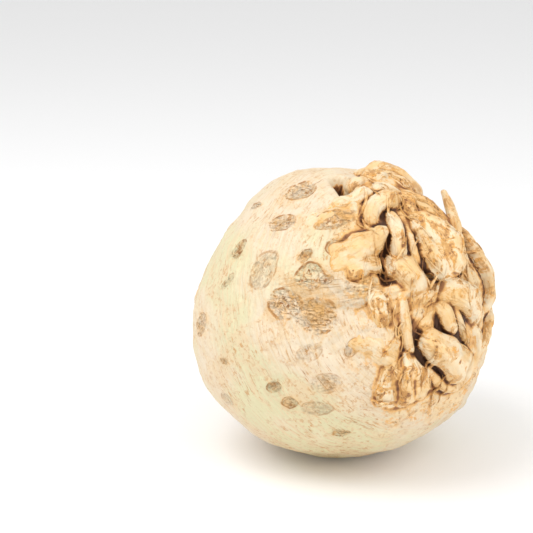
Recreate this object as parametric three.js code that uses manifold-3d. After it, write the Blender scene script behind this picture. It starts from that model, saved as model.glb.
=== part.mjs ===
// A celeriac root lying on its side, in millimetres, +Z up, resting on a small flat spot at z = 0.
import * as THREE from "three";
import { mergeVertices } from "three/addons/utils/BufferGeometryUtils.js";
import Module from "manifold-3d";

// The ball that the root has swollen to.
const BALL_RADIUS = 58.5;
const CENTRE_HEIGHT = 56.8; // of the ball's middle above the flat spot
const ROOT_END_TILT = THREE.MathUtils.degToRad(24); // up from the surface that it rests on
const SKIN_COLOUR = 0xe9d8ae;
const SKIN_ROUGHNESS = 0.75;

// Its skin is laid out as a map round the root end: x to the right and y up, in millimetres along
// the skin as seen facing that end, from the middle of the end. The crown is on the far side.
const ROOT_AXIS = new THREE.Vector3(Math.cos(ROOT_END_TILT), 0, Math.sin(ROOT_END_TILT));
const MAP_UP = new THREE.Vector3(-Math.sin(ROOT_END_TILT), 0, Math.cos(ROOT_END_TILT));
const MAP_RIGHT = new THREE.Vector3(0, 1, 0);
const CROWN_REACH = Math.PI * BALL_RADIUS;

// Swells are broad lumps and hollows of the ball: x, y, spread and height.
const SWELLS = [
  [-118, -20, 30, 2],
  [-24, -94, 28, -2],
  [40, 42, 22, -4],
  [5, 80, 24, -1.4],
  [-78, 82, 28, -3.5],
  [0, 0, 28, -3.5],
  [12, 55, 14, -3.5],
  [0, 183.8, 22, 1.5],
  [0, 183.8, 10, -3],
  [0, 183.8, 4.5, 2.5],
];

// Folds are ridges and creases of the skin that run into the root end: a width, a height, and the
// map places that each one runs through.
const FOLDS = [
  [2.4, 1.6, [[-50, 13.5], [-38, 10], [-31, 6.4], [-24, 3]]],
  [2.2, 1.4, [[-49, 9], [-39, 4.8], [-31, 1], [-25, -0.5]]],
  [6, 3, [[-28, -10], [-22, -17]]],
];

// Crevices run between the roots: a width, a depth, and the map places that each runs through.
const CREVICES = [
  [1.7, 9, [[-12.6, 57], [-13.8, 52], [-15, 46.5]]],
  [2.6, 4.5, [[-13.2, 20.5], [-15.4, 15.5], [-17, 11], [-17.5, 6.5]]],
  [1, 3.5, [[-2.5, 6], [3, 2.8], [10, 1.4], [16, 2.4], [22, 4.5]]],
  [1.2, 2.5, [[-10.5, -17], [-11, -25], [-9, -34]]],
];

// Trimmed roots grow from the root end and lie on it, or stand off it as loose strands. Each has
// the squareness of its section (2 is oval), and rows of x, y, the lift of its middle above the
// ball, half its width and half its thickness.
const ROOTS = {
  topBack: [2.6, [
    [-1, 56, -8, 3, 3], [4.5, 59.5, -6, 4.4, 4.2], [11.5, 62, -5, 5, 4.8],
    [19, 62.5, -3.6, 5, 4.8], [26, 58.5, -2.8, 4.8, 4.8], [30.5, 51, -4, 4.4, 4.4],
    [31, 44, -6.4, 3.6, 3.6],
  ]],
  topFront: [4, [
    [1, 52.5, -5.4, 3, 3], [4.5, 54.5, -3.6, 3.8, 4], [9.5, 55.8, -3.2, 4.2, 4.2],
    [15, 54.5, -3.2, 4.2, 4.2], [19, 49.5, -3.6, 4, 4.2], [21.5, 44, -5.2, 3.4, 3.6],
  ]],
  crinkledLobe: [2.8, [
    [-11.4, 49.6, -4.4, 2.4, 2.8], [-8.6, 50.6, -3, 3.2, 3.6], [-4.4, 51, -2.8, 3.4, 3.8],
    [-0.6, 51, -4.4, 2.8, 3],
  ]],
  underTop: [2.4, [
    [-9, 43, -5, 2.4, 2.8], [-5, 44, -2.8, 3.2, 3.4], [0.5, 44, -1.8, 3.4, 3.8],
    [5.5, 42, -2.6, 2.8, 3.2], [9, 40, -4.5, 2.2, 2.6],
  ]],
  upperTongue: [2.4, [
    [-44, 37, -9, 7, 4], [-34, 40, -5.6, 6, 5], [-24, 42, -3.8, 4.4, 4.8],
    [-16, 42.6, -3, 3.6, 4.4], [-10, 42, -2.4, 4.3, 4.8], [-5.5, 40.6, -3.2, 3.8, 4.2],
  ]],
  bentKnob: [2.5, [
    [-14.2, 27.6, -5, 2.4, 3], [-13.2, 31, -3, 3.2, 4.2], [-10.4, 34.6, -2, 4.2, 5],
    [-5.8, 36.4, -1.6, 4.8, 5.2], [-0.8, 36.6, -2, 4.6, 5], [2.4, 35.6, -3.4, 3.6, 4.2],
  ]],
  brownKnob: [2.6, [
    [6, 39, -5, 4, 4], [5.5, 35, -3, 4.8, 4.8], [4.5, 30.5, -3.2, 4.2, 4.4], [4, 27, -5.5, 3, 3],
  ]],
  finger: [2.6, [
    [-6, 31.4, -2.6, 2.4, 3], [-6.4, 27.6, -1.2, 2.9, 4.2], [-8, 21.4, -1, 2.7, 4.2],
    [-9.2, 16.4, -1, 2.8, 4.4], [-10.2, 13, -2.4, 2.2, 3.4],
  ]],
  pointedTongue: [2.4, [
    [-40, 16, -9, 7.5, 5], [-32, 18, -5, 7.4, 5.5], [-24.5, 20, -2.8, 6.4, 5.6],
    [-18.5, 21.6, -1.6, 4.8, 4.8], [-13.5, 23.4, -0.8, 2.9, 3.2], [-9.5, 25, -0.4, 1.2, 1.4],
  ]],
  underTongue: [2.4, [
    [-38, 11, -9, 6, 4], [-32, 13.5, -5, 6.5, 4.8], [-26, 13.6, -3.4, 6, 5],
    [-21.5, 13.4, -3.8, 4.4, 4.4], [-19, 13.4, -6, 3, 3.4],
  ]],
  middleLump: [2.5, [
    [-12, 15, -8, 4, 3.6], [-10.4, 10.6, -4, 5.8, 5.2], [-8.2, 5.4, -2.8, 6.2, 5.6],
    [-6, 0.6, -4, 5, 5], [-4.4, -3, -7, 3.4, 3.4],
  ]],
  cutPlank: [5, [
    [8.4, 31, -8, 4, 4], [8.2, 27, -5, 6.6, 5.6], [8.2, 22, -4, 8.6, 6.4],
    [8.2, 15.5, -3.8, 9.8, 6.8], [8.4, 10, -3.8, 10.2, 7], [8.8, 6.6, -4, 9.8, 6.8],
    [9, 4.8, -4.6, 7, 5.6], [9, 3.9, -6, 3, 3],
  ]],
  outerRidge: [2.6, [
    [8, 42, -7, 2.6, 2.6], [12, 40.5, -4, 3, 3], [18.5, 36.5, -3, 3.2, 3.2],
    [22.5, 28.5, -2.6, 3, 3.2], [23.5, 19, -2.4, 3, 3.2], [23.2, 9, -3, 2.8, 3],
    [22.8, 1, -5, 2.4, 2.4],
  ]],
  innerRidge: [2.6, [
    [5, 37, -6, 2.4, 2.4], [9.5, 35, -3, 2.8, 3], [15, 31, -2.4, 2.8, 3], [19, 24, -2, 2.6, 3],
    [20.6, 15, -2.4, 2.4, 2.8], [20.8, 8, -4.4, 2, 2.2],
  ]],
  thinRidge: [2.6, [
    [-1.5, 30, -6, 2, 2.2], [-2.2, 24, -3, 2.2, 2.6], [-3.6, 16, -2.6, 2.2, 2.6],
    [-4, 9, -3, 2.2, 2.6], [-2.5, 3, -5.5, 2, 2],
  ]],
  largeKnob: [3.4, [
    [0, 0.6, -7, 4, 4], [5, -1.6, -4.4, 5.2, 5.2], [11.5, -4.6, -3, 6.4, 6],
    [17, -8.8, -2.8, 6.6, 6], [21.5, -14, -4.2, 5, 5], [23, -18, -7.5, 4, 4],
  ]],
  ovalBulb: [2.4, [
    [-0.2, -6.4, -2.6, 2.2, 2.8], [1.4, -10, -1, 3.3, 3.8], [3.2, -14.5, -0.6, 3.5, 4],
    [5.2, -19, -2.4, 2.4, 3],
  ]],
  narrowStrand: [2.6, [
    [4, -5.5, -4, 1.5, 2], [7.4, -10, -1.2, 1.8, 2.4], [10, -15.5, -0.8, 2, 2.6],
    [12.2, -21, -1.2, 2, 2.6], [13.4, -26, -3, 1.6, 2], [13.7, -29, -5, 1.2, 1.6],
  ]],
  archedLump: [2.5, [
    [-12.5, -11, -5.4, 2.4, 2.6], [-11.2, -7, -3.6, 3.2, 3.4], [-8, -4, -3, 3.6, 4],
    [-3.5, -3, -3, 3.6, 4], [0.6, -4.6, -5, 3, 3.4],
  ]],
  underArch: [2.5, [
    [-10.5, -15.5, -5, 3.6, 3.6], [-6.4, -12.6, -3, 4.4, 4.4], [-2.4, -10.8, -3.4, 4, 4],
    [0.6, -12.4, -6, 3, 3],
  ]],
  smoothKnob: [3, [
    [-9, -16.5, -3.6, 3.4, 4], [-5.4, -19.8, -1.6, 5.8, 5.8], [0.5, -24.4, -0.6, 7, 6.8],
    [6.4, -29.2, -0.8, 6.9, 6.7], [10.6, -32.4, -2.2, 5.6, 5.8], [12.6, -34, -4.4, 4, 4.2],
  ]],
  curledStrand: [2.5, [
    [-9, -23, -4, 1.8, 2.2], [-7.4, -28.5, -1.4, 2.1, 2.8], [-3, -33.4, -0.4, 2.4, 3],
    [3, -38, -0.4, 2.6, 3], [11, -41, -0.8, 2.6, 3], [18, -38.5, -1.6, 2.4, 2.8],
    [22, -32, -3, 2.2, 2.6], [22.6, -27, -5, 1.8, 2],
  ]],
  wedge: [3, [
    [-15.6, -20, -5, 3, 3], [-16.4, -25, -2.6, 7, 4.8], [-16.2, -31, -1.8, 9.4, 5.4],
    [-15.2, -37, -2.2, 10.4, 5.6], [-14.2, -43, -5.4, 9, 4.8], [-13.8, -48, -9, 4, 3],
  ]],
  wedgeLeft: [2.6, [
    [-17.6, -21.2, -4, 1.2, 2], [-21.2, -25.5, -2, 2.4, 3.6], [-23.8, -31, -1.6, 2.9, 4.2],
    [-24.4, -36.5, -2, 3, 4.2], [-23.4, -41.5, -5, 2.4, 3.2],
  ]],
  wedgeMiddle: [2.6, [
    [-15.6, -20, -3.4, 1.4, 2.2], [-16, -25, -1, 2.4, 4], [-16.4, -32, -0.2, 3, 5],
    [-16, -38.5, -1, 3.2, 5], [-15.4, -43.5, -4.2, 2.6, 3.8],
  ]],
  wedgeRight: [2.6, [
    [-14.4, -20.5, -3.8, 1.2, 2], [-12.6, -26, -1.6, 2.2, 3.6], [-10.8, -32, -1, 2.8, 4.6],
    [-9, -38, -1.6, 2.8, 4.4], [-7.8, -42, -4.2, 2.2, 3.2],
  ]],
  paleStrand: [2.5, [
    [-14.2, 4, -6, 1.7, 2], [-13.9, -1.5, -2.8, 2, 2.8], [-14.3, -8, -1.6, 2.2, 3.2],
    [-14.6, -15, -1.4, 2.3, 3.4], [-13.6, -21.5, -2.4, 2.2, 3], [-12, -27, -5, 2, 2.4],
  ]],
  roughKnob: [2.5, [
    [-23.6, 4, -6.4, 4, 4], [-23, -1, -3.6, 4.8, 4.8], [-23.4, -7, -2.8, 5, 5],
    [-22.8, -11.8, -3.8, 4.2, 4.4], [-21.5, -15.4, -6.5, 3, 3],
  ]],
  paleLobe: [2.4, [
    [-38, -8, -9, 6, 4], [-31, -13.5, -5, 6, 5], [-25.6, -18, -3.2, 5.6, 5.2],
    [-21, -21.4, -2.8, 4.6, 5], [-17.6, -24, -4.4, 3.4, 4], [-15.8, -26.5, -7, 2.6, 3],
  ]],
  standingStrand: [2.6, [
    [23.6, 13.5, -4, 1.4, 1.6], [25, 20, 0.2, 1.8, 2], [26.5, 26, 1.4, 1.9, 2],
    [27, 31, 2.8, 1.7, 1.7], [26.5, 36, 4.6, 1.1, 1.2],
  ]],
  rimStrand: [2.6, [
    [30, 21.5, -0.4, 1, 1.2], [29.6, 16, 0.4, 1.9, 2.2], [31.5, 9, 0.8, 2.3, 2.6],
    [36, 2, 0.6, 2.5, 2.8], [38.5, -5, 0, 2.5, 2.8], [36, -12, -1.6, 2.3, 2.6],
    [30, -16, -4.5, 1.8, 2],
  ]],
  taperedStrand: [2.6, [
    [38.6, -14, -0.6, 1, 1.2], [36.4, -17.5, -0.4, 1.8, 2.1], [32, -23.5, -0.8, 2.2, 2.5],
    [27, -30, -1.4, 2.3, 2.6], [22, -37.5, -2.6, 2.1, 2.4], [18.5, -42.5, -5.5, 1.8, 2],
  ]],
  sideRidge: [2.6, [
    [15.5, -12, -5, 2, 2.2], [20, -18.5, -2.6, 2.5, 2.8], [24.5, -26, -2, 2.6, 2.8],
    [25.5, -33, -2.4, 2.4, 2.6], [21, -39, -4.6, 2, 2.2],
  ]],
  farStub: [2.8, [
    [29, 27, -7, 4, 4], [34, 19, -4, 5, 4.8], [37, 10, -5, 4.6, 4.6], [38, 4, -8, 3, 3],
  ]],
  farLowStub: [2.8, [
    [43, -2, -8, 4, 4], [44, -10, -5, 5, 4.8], [41, -19, -5.4, 4.4, 4.4], [37, -26, -8, 3, 3],
  ]],
  lowMound: [2.4, [
    [-3, -51, -8, 4, 3], [4, -49, -5.4, 5, 4.4], [12, -47, -5.6, 5, 4.4], [19, -43, -8, 3, 3],
  ]],
};

// Unevenness of the skin: the length and height of its broad and its middling waves, and for the
// roots the length of their knobs, with the share of a root's size that the knobs change.
const [BROAD_LENGTH, BROAD_HEIGHT] = [38, 0.7];
const [MIDDLE_LENGTH, MIDDLE_HEIGHT] = [14, 0.35];
const [KNOB_LENGTH, KNOB_SHARE] = [11, 0.12];

// How finely the skin and the roots are built.
const NEAR_REACH = 63;
const NEAR_RINGS = 19;
const FAR_RINGS = 19;
const BODY_SIDES = 58;
const ROOT_STATIONS = 9;
const ROOT_SIDES = 10;
// The block of space below the flat spot, which is cut away.
const BELOW_WIDTH = 200;
const BELOW_DEPTH = 40;


// The direction from the ball's middle to a place on the skin map.
function heading(x, y) {
  const reach = Math.hypot(x, y);
  const angle = reach / BALL_RADIUS;
  const share = reach > 0 ? Math.sin(angle) / reach : 0;
  return ROOT_AXIS.clone()
    .multiplyScalar(Math.cos(angle))
    .addScaledVector(MAP_RIGHT, x * share)
    .addScaledVector(MAP_UP, y * share);
}

// Numbers between 0 and 1 by a linear congruence, the same for the same seed.
function draws(seed) {
  let state = seed;
  return () => {
    state = (Math.imul(state, 1664525) + 1013904223) >>> 0;
    return state / 2 ** 32;
  };
}

// A smooth wander between about -1 and 1: plane waves of about one length, in drawn directions.
function wander(length, seed, count = 9) {
  const draw = draws(seed);
  const waves = [];
  for (let i = 0; i < count; i++) {
    const rise = 2 * draw() - 1;
    const turn = 2 * Math.PI * draw();
    const flat = Math.sqrt(1 - rise * rise);
    const pitch = (2 * Math.PI) / (length * (0.7 + 0.7 * draw()));
    const way = new THREE.Vector3(flat * Math.cos(turn), flat * Math.sin(turn), rise);
    waves.push([way.multiplyScalar(pitch), 2 * Math.PI * draw()]);
  }
  const scale = 0.6 / Math.sqrt(count * 0.5);
  return (point) => scale * waves.reduce((sum, [way, at]) => sum + Math.sin(way.dot(point) + at), 0);
}
const broadWander = wander(BROAD_LENGTH, 3);
const middleWander = wander(MIDDLE_LENGTH, 4);
const knobWander = wander(KNOB_LENGTH, 5);

// A Catmull-Rom curve through rows of numbers, with the given number of steps between two rows.
function smoothPath(rows, steps) {
  const extend = (a, b) => a.map((value, k) => 2 * value - b[k]);
  const last = rows.length - 1;
  const ends = [extend(rows[0], rows[1]), ...rows, extend(rows[last], rows[last - 1])];
  const path = [];
  for (let i = 0; i < last; i++) {
    const [a, b, c, d] = ends.slice(i, i + 4);
    for (let step = 0; step < steps; step++) {
      const t = step / steps;
      path.push(
        a.map(
          (v, k) =>
            0.5 *
            (2 * b[k] +
              (c[k] - v) * t +
              (2 * v - 5 * b[k] + 4 * c[k] - d[k]) * t * t +
              (3 * b[k] - 3 * c[k] + d[k] - v) * t * t * t),
        ),
      );
    }
  }
  path.push(rows[last]);
  return path;
}

// The distance along the skin from a direction to the nearest point of a line of directions.
function lineDistance(direction, line) {
  let nearest = Infinity;
  for (let i = 0; i + 1 < line.length; i++) {
    const step = line[i + 1].clone().sub(line[i]);
    const from = direction.clone().sub(line[i]);
    const share = THREE.MathUtils.clamp(from.dot(step) / step.lengthSq(), 0, 1);
    nearest = Math.min(nearest, from.addScaledVector(step, -share).length() * BALL_RADIUS);
  }
  return nearest;
}

const swells = SWELLS.map(([x, y, spread, height]) => ({ at: heading(x, y), spread, height }));
const alongSkin = (width, height, places) => ({
  line: smoothPath(places, 4).map(([x, y]) => heading(x, y)),
  width,
  height,
});
const folds = [
  ...FOLDS.map(([width, height, places]) => alongSkin(width, height, places)),
  ...CREVICES.map(([width, depth, places]) => alongSkin(width, -depth, places)),
];
const bump = (gap, width) => Math.exp(-((gap / width) ** 2));

// How far the skin is from the ball's middle in a direction.
function skinRadius(direction) {
  let radius = BALL_RADIUS;
  for (const { at, spread, height } of swells)
    radius += height * bump(direction.distanceTo(at) * BALL_RADIUS, spread);
  for (const { line, width, height } of folds)
    radius += height * bump(lineDistance(direction, line), width);
  const point = direction.clone().multiplyScalar(BALL_RADIUS);
  return radius + BROAD_HEIGHT * broadWander(point) + MIDDLE_HEIGHT * middleWander(point);
}

// A closed body from a first point, rings of points that run clockwise seen from it, and a last.
const wasm = await Module();
wasm.setup();
function closedBody(first, rings, last) {
  const sides = rings[0].length;
  const points = [first, ...rings.flat(), last];
  const triangles = [];
  const at = (ring, side) => 1 + ring * sides + (side % sides);
  for (let side = 0; side < sides; side++) {
    triangles.push(0, at(0, side + 1), at(0, side));
    for (let ring = 0; ring + 1 < rings.length; ring++) {
      const [a, b] = [at(ring, side), at(ring, side + 1)];
      const [c, d] = [at(ring + 1, side), at(ring + 1, side + 1)];
      triangles.push(a, b, c, b, d, c);
    }
    triangles.push(at(rings.length - 1, side), at(rings.length - 1, side + 1), points.length - 1);
  }
  return manifold(
    points.flatMap((point) => point.toArray()),
    triangles,
  );
}

function manifold(positions, triangles) {
  return new wasm.Manifold(
    new wasm.Mesh({
      numProp: 3,
      vertProperties: new Float32Array(positions),
      triVerts: new Uint32Array(triangles),
    }),
  );
}

// The swollen body: rings round the root end, closer together there than towards the crown.
function body() {
  const reaches = [];
  for (let i = 1; i <= NEAR_RINGS; i++) reaches.push((NEAR_REACH * i) / NEAR_RINGS);
  for (let i = 1; i <= FAR_RINGS; i++)
    reaches.push(NEAR_REACH + ((CROWN_REACH - NEAR_REACH) * i) / (FAR_RINGS + 1));
  const onSkin = (direction) => direction.clone().multiplyScalar(skinRadius(direction));
  const rings = reaches.map((reach) =>
    Array.from({ length: BODY_SIDES }, (_, side) => {
      const turn = (2 * Math.PI * side) / BODY_SIDES;
      return onSkin(heading(reach * Math.sin(turn), reach * Math.cos(turn)));
    }),
  );
  return closedBody(onSkin(ROOT_AXIS), rings, onSkin(ROOT_AXIS.clone().negate()));
}

// One root: a squarish oval carried along its path, shrinking to a point round both ends.
function root(squareness, rows) {
  const path = smoothPath(rows, 8);
  const middles = path.map(([x, y, lift]) => heading(x, y).multiplyScalar(BALL_RADIUS + lift));
  const lengths = [0];
  for (let i = 1; i < middles.length; i++)
    lengths.push(lengths[i - 1] + middles[i].distanceTo(middles[i - 1]));
  const total = lengths[lengths.length - 1];
  const stationAt = (at) => {
    let i = 0;
    while (i + 2 < lengths.length && lengths[i + 1] < at) i++;
    const t = (at - lengths[i]) / (lengths[i + 1] - lengths[i]);
    const width = THREE.MathUtils.lerp(path[i][3], path[i + 1][3], t);
    const thick = THREE.MathUtils.lerp(path[i][4], path[i + 1][4], t);
    return { middle: middles[i].clone().lerp(middles[i + 1], t), width, thick };
  };
  const round = (gap, width) => {
    const share = THREE.MathUtils.clamp(gap / width, 0, 1);
    return Math.sqrt(1 - (1 - share) ** 2);
  };
  const ends = [path[0][3], path[path.length - 1][3]];
  const rings = [];
  for (let station = 1; station <= ROOT_STATIONS; station++) {
    const at = (total * (1 - Math.cos((Math.PI * station) / (ROOT_STATIONS + 1)))) / 2;
    const { middle, width, thick } = stationAt(at);
    const before = stationAt(Math.max(at - 1, 0)).middle;
    const ahead = stationAt(Math.min(at + 1, total)).middle.sub(before).normalize();
    const across = middle.clone().cross(ahead).normalize();
    const above = ahead.clone().cross(across);
    const fade = round(at, ends[0]) * round(total - at, ends[1]);
    rings.push(
      Array.from({ length: ROOT_SIDES }, (_, side) => {
        const turn = (2 * Math.PI * side) / ROOT_SIDES;
        const square = (value) => Math.sign(value) * Math.abs(value) ** (2 / squareness);
        const way = across
          .clone()
          .multiplyScalar(square(Math.cos(turn)) * width)
          .addScaledVector(above, square(Math.sin(turn)) * thick);
        const rough = 1 + KNOB_SHARE * knobWander(middle.clone().add(way));
        return middle.clone().addScaledVector(way, fade * rough);
      }),
    );
  }
  return closedBody(middles[0], rings, middles[middles.length - 1]);
}

// Grow the roots on the body, set it on its flat spot, and centre it over the origin.
let celeriac = body();
for (const [squareness, rows] of Object.values(ROOTS))
  celeriac = celeriac.add(root(squareness, rows));
const below = new THREE.BoxGeometry(BELOW_WIDTH, BELOW_WIDTH, BELOW_DEPTH)
  .translate(0, 0, -CENTRE_HEIGHT - BELOW_DEPTH / 2)
  .deleteAttribute("normal")
  .deleteAttribute("uv");
const slab = mergeVertices(below);
celeriac = celeriac.subtract(manifold(slab.attributes.position.array, slab.index.array));

// Keep the outer skin alone, so that no gap is left sealed under the roots.
const mesh = celeriac.getMesh();
const shell = Array.from({ length: mesh.numVert }, (_, i) => i);
const shellOf = (i) => {
  while (shell[i] !== i) i = shell[i] = shell[shell[i]];
  return i;
};
for (let i = 0; i < mesh.triVerts.length; i += 3) {
  const [a, b, c] = mesh.triVerts.subarray(i, i + 3);
  shell[shellOf(b)] = shellOf(a);
  shell[shellOf(c)] = shellOf(a);
}
let lowest = 0;
for (let i = 0; i < mesh.numVert; i++)
  if (mesh.vertProperties[i * mesh.numProp + 2] < mesh.vertProperties[lowest * mesh.numProp + 2])
    lowest = i;
const outer = Array.from(mesh.triVerts).filter((i) => shellOf(i) === shellOf(lowest));
const geometry = new THREE.BufferGeometry();
const vertices = new THREE.Float32BufferAttribute(mesh.vertProperties, mesh.numProp);
geometry.setAttribute("position", vertices);
geometry.setIndex(outer);
geometry.computeBoundingBox();
const middle = geometry.boundingBox.getCenter(new THREE.Vector3());
geometry.translate(-middle.x, -middle.y, CENTRE_HEIGHT);

const skin = new THREE.MeshStandardMaterial({
  color: SKIN_COLOUR,
  roughness: SKIN_ROUGHNESS,
  metalness: 0,
});
const node = new THREE.Mesh(geometry, skin);
node.name = "celeriac";
const group = new THREE.Group();
group.add(node);
export default group;
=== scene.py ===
import math
from itertools import product

import bpy
import numpy as np
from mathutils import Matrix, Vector


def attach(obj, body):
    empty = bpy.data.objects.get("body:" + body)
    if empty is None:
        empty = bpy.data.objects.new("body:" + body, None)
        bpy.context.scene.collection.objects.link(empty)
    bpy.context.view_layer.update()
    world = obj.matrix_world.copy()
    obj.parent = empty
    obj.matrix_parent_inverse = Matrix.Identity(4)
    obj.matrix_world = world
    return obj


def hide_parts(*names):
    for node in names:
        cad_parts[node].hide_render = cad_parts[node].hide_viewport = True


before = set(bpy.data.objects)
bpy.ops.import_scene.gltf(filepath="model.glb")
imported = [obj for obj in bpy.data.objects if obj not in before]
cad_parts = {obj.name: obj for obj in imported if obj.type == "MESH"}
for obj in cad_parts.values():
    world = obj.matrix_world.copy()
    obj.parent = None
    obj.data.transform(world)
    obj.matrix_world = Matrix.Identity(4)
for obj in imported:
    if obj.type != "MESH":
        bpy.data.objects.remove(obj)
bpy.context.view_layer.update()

# The swollen body: a stem base and root top grown together into a ball of pale flesh with a thin
# skin. It lies on its side. Its skin is laid out as a map round the root end: x to the right and
# y up, in millimetres along the skin as seen facing that end, from the middle of the end.
MM = 0.001
BALL_RADIUS = 58.5
CENTRE = np.array([-2.833, 0.245, 56.8])
ROOT_END_TILT = math.radians(24)
ROOT_AXIS = np.array([math.cos(ROOT_END_TILT), 0.0, math.sin(ROOT_END_TILT)])
MAP_UP = np.array([-math.sin(ROOT_END_TILT), 0.0, math.cos(ROOT_END_TILT)])
MAP_RIGHT = np.array([0.0, 1.0, 0.0])
CROWN_REACH = math.pi * BALL_RADIUS


def heading(x, y):
    """The unit direction from the middle of the ball to a place on the skin map: its distance from
    the middle of the root end is an arc, and its bearing on the map is kept."""
    x, y = np.asarray(x, float), np.asarray(y, float)
    reach = np.hypot(x, y)
    angle = reach / BALL_RADIUS
    share = np.sin(angle) / np.maximum(reach, 1e-9)
    return (np.cos(angle)[..., None] * ROOT_AXIS
            + (x * share)[..., None] * MAP_RIGHT + (y * share)[..., None] * MAP_UP)


def map_place(directions):
    """The map's x and y of unit directions, the reverse of heading: the angle from the root end's
    axis times the ball's radius, along the same bearing."""
    ahead = np.clip(directions @ ROOT_AXIS, -1, 1)
    x, y = directions @ MAP_RIGHT, directions @ MAP_UP
    off = np.maximum(np.hypot(x, y), 1e-9)
    reach = np.arccos(ahead) * BALL_RADIUS
    return x / off * reach, y / off * reach


def draws(seed):
    """Numbers between 0 and 1 by a linear congruence, the same for the same seed."""
    while True:
        seed = (seed * 1664525 + 1013904223) % 2**32
        yield seed / 2**32


def waves(points, length, seed, count=9):
    """A smooth wander between about -1 and 1: plane waves of about that length in millimetres, in
    drawn directions."""
    draw = draws(seed)
    total = np.zeros(len(points))
    for _ in range(count):
        rise = 2 * next(draw) - 1
        turn = 2 * math.pi * next(draw)
        flat = math.sqrt(1 - rise * rise)
        pitch = 2 * math.pi / (length * (0.7 + 0.7 * next(draw)))
        way = np.array([flat * math.cos(turn), flat * math.sin(turn), rise]) * pitch
        total += np.sin(points @ way + 2 * math.pi * next(draw))
    return total * 0.6 / math.sqrt(count * 0.5)


CELL_PRIMES, SEED_PRIME = (73856093, 19349663, 83492791), 2654435761
SLOPE_PRIMES = (668265263, 374761393, 2246822519)


def grain(points, size, seed):
    """Gradient noise: every corner of a lattice of that size in millimetres has a slope hashed
    from its place, and the eight slopes round a point are blended smoothly."""
    scaled = points / size + seed * 17.31
    cell = np.floor(scaled).astype(np.int64)
    inside = scaled - cell
    fade = inside * inside * inside * (inside * (inside * 6 - 15) + 10)
    total = np.zeros(len(points))
    for corner in product((0, 1), repeat=3):
        at = (cell + np.array(corner)) * np.array(CELL_PRIMES)
        code = at[:, 0] ^ at[:, 1] ^ at[:, 2] ^ (seed * SEED_PRIME)
        slope = np.stack([((code * prime) >> 13) % 1024 for prime in SLOPE_PRIMES], 1)
        weight = np.prod(np.where(np.array(corner) == 1, fade, 1 - fade), axis=1)
        total += weight * ((inside - np.array(corner)) * (slope / 511.5 - 1)).sum(1)
    return total * 1.4


def smooth_path(rows, steps):
    """A Catmull-Rom curve through rows of numbers, with that many steps from one to the next."""
    rows = np.array(rows, float)
    ends = np.vstack([2 * rows[0] - rows[1], rows, 2 * rows[-1] - rows[-2]])
    t = np.linspace(0, 1, steps, endpoint=False)[:, None]
    spans = []
    for a, b, c, d in zip(ends[:-3], ends[1:-2], ends[2:-1], ends[3:]):
        spans.append(0.5 * (2 * b + (c - a) * t + (2 * a - 5 * b + 4 * c - d) * t**2
                            + (3 * b - 3 * c + d - a) * t**3))
    return np.vstack([*spans, rows[-1:]])


def path_distance(directions, places):
    """For each direction, the distance in millimetres along the skin to a line of map places."""
    line = heading(places[:, 0], places[:, 1])
    nearest = np.full(len(directions), 1e9)
    for a, b in zip(line[:-1], line[1:]):
        step = b - a
        share = np.clip((directions - a) @ step / (step @ step), 0, 1)
        gap = np.linalg.norm(directions - a - share[:, None] * step, axis=1) * BALL_RADIUS
        nearest = np.minimum(nearest, gap)
    return nearest


def ease(value, low, high):
    """0 below low, 1 above high, and a smooth rise between them."""
    t = np.clip((value - low) / (high - low), 0, 1)
    return t * t * (3 - 2 * t)


# Swells are broad lumps and hollows of the ball: x, y, spread and height.
SWELLS = [
    (-118, -20, 30, 2), (-24, -94, 28, -2), (40, 42, 22, -4), (5, 80, 24, -1.4),
    (-78, 82, 28, -3.5), (0, 0, 28, -3.5), (12, 55, 14, -3.5),
    (0, 183.8, 22, 1.5), (0, 183.8, 10, -3), (0, 183.8, 4.5, 2.5),
]
# Folds are ridges and creases of the skin that run into the root end: a width, a height, and the
# map places that each one runs through.
FOLDS = [
    (2.4, 1.6, [(-50, 13.5), (-38, 10), (-31, 6.4), (-24, 3)]),
    (2.2, 1.4, [(-49, 9), (-39, 4.8), (-31, 1), (-25, -0.5)]),
    (6, 3, [(-28, -10), (-22, -17)]),
]
# Crevices run between the roots: a width, a depth, and the map places that each runs through.
CREVICES = [
    (2.2, 11, [(-12.6, 56.5), (-13.8, 52), (-15, 46.5)]),
    (2.6, 4.5, [(-13.2, 20.5), (-15.4, 15.5), (-17, 11), (-17.5, 6.5)]),
    (1.0, 3.5, [(-2.5, 6), (3, 2.8), (10, 1.4), (16, 2.4), (22, 4.5)]),
    (1.2, 0.8, [(-10.5, -17), (-11, -25), (-9, -34)]),
]
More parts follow.
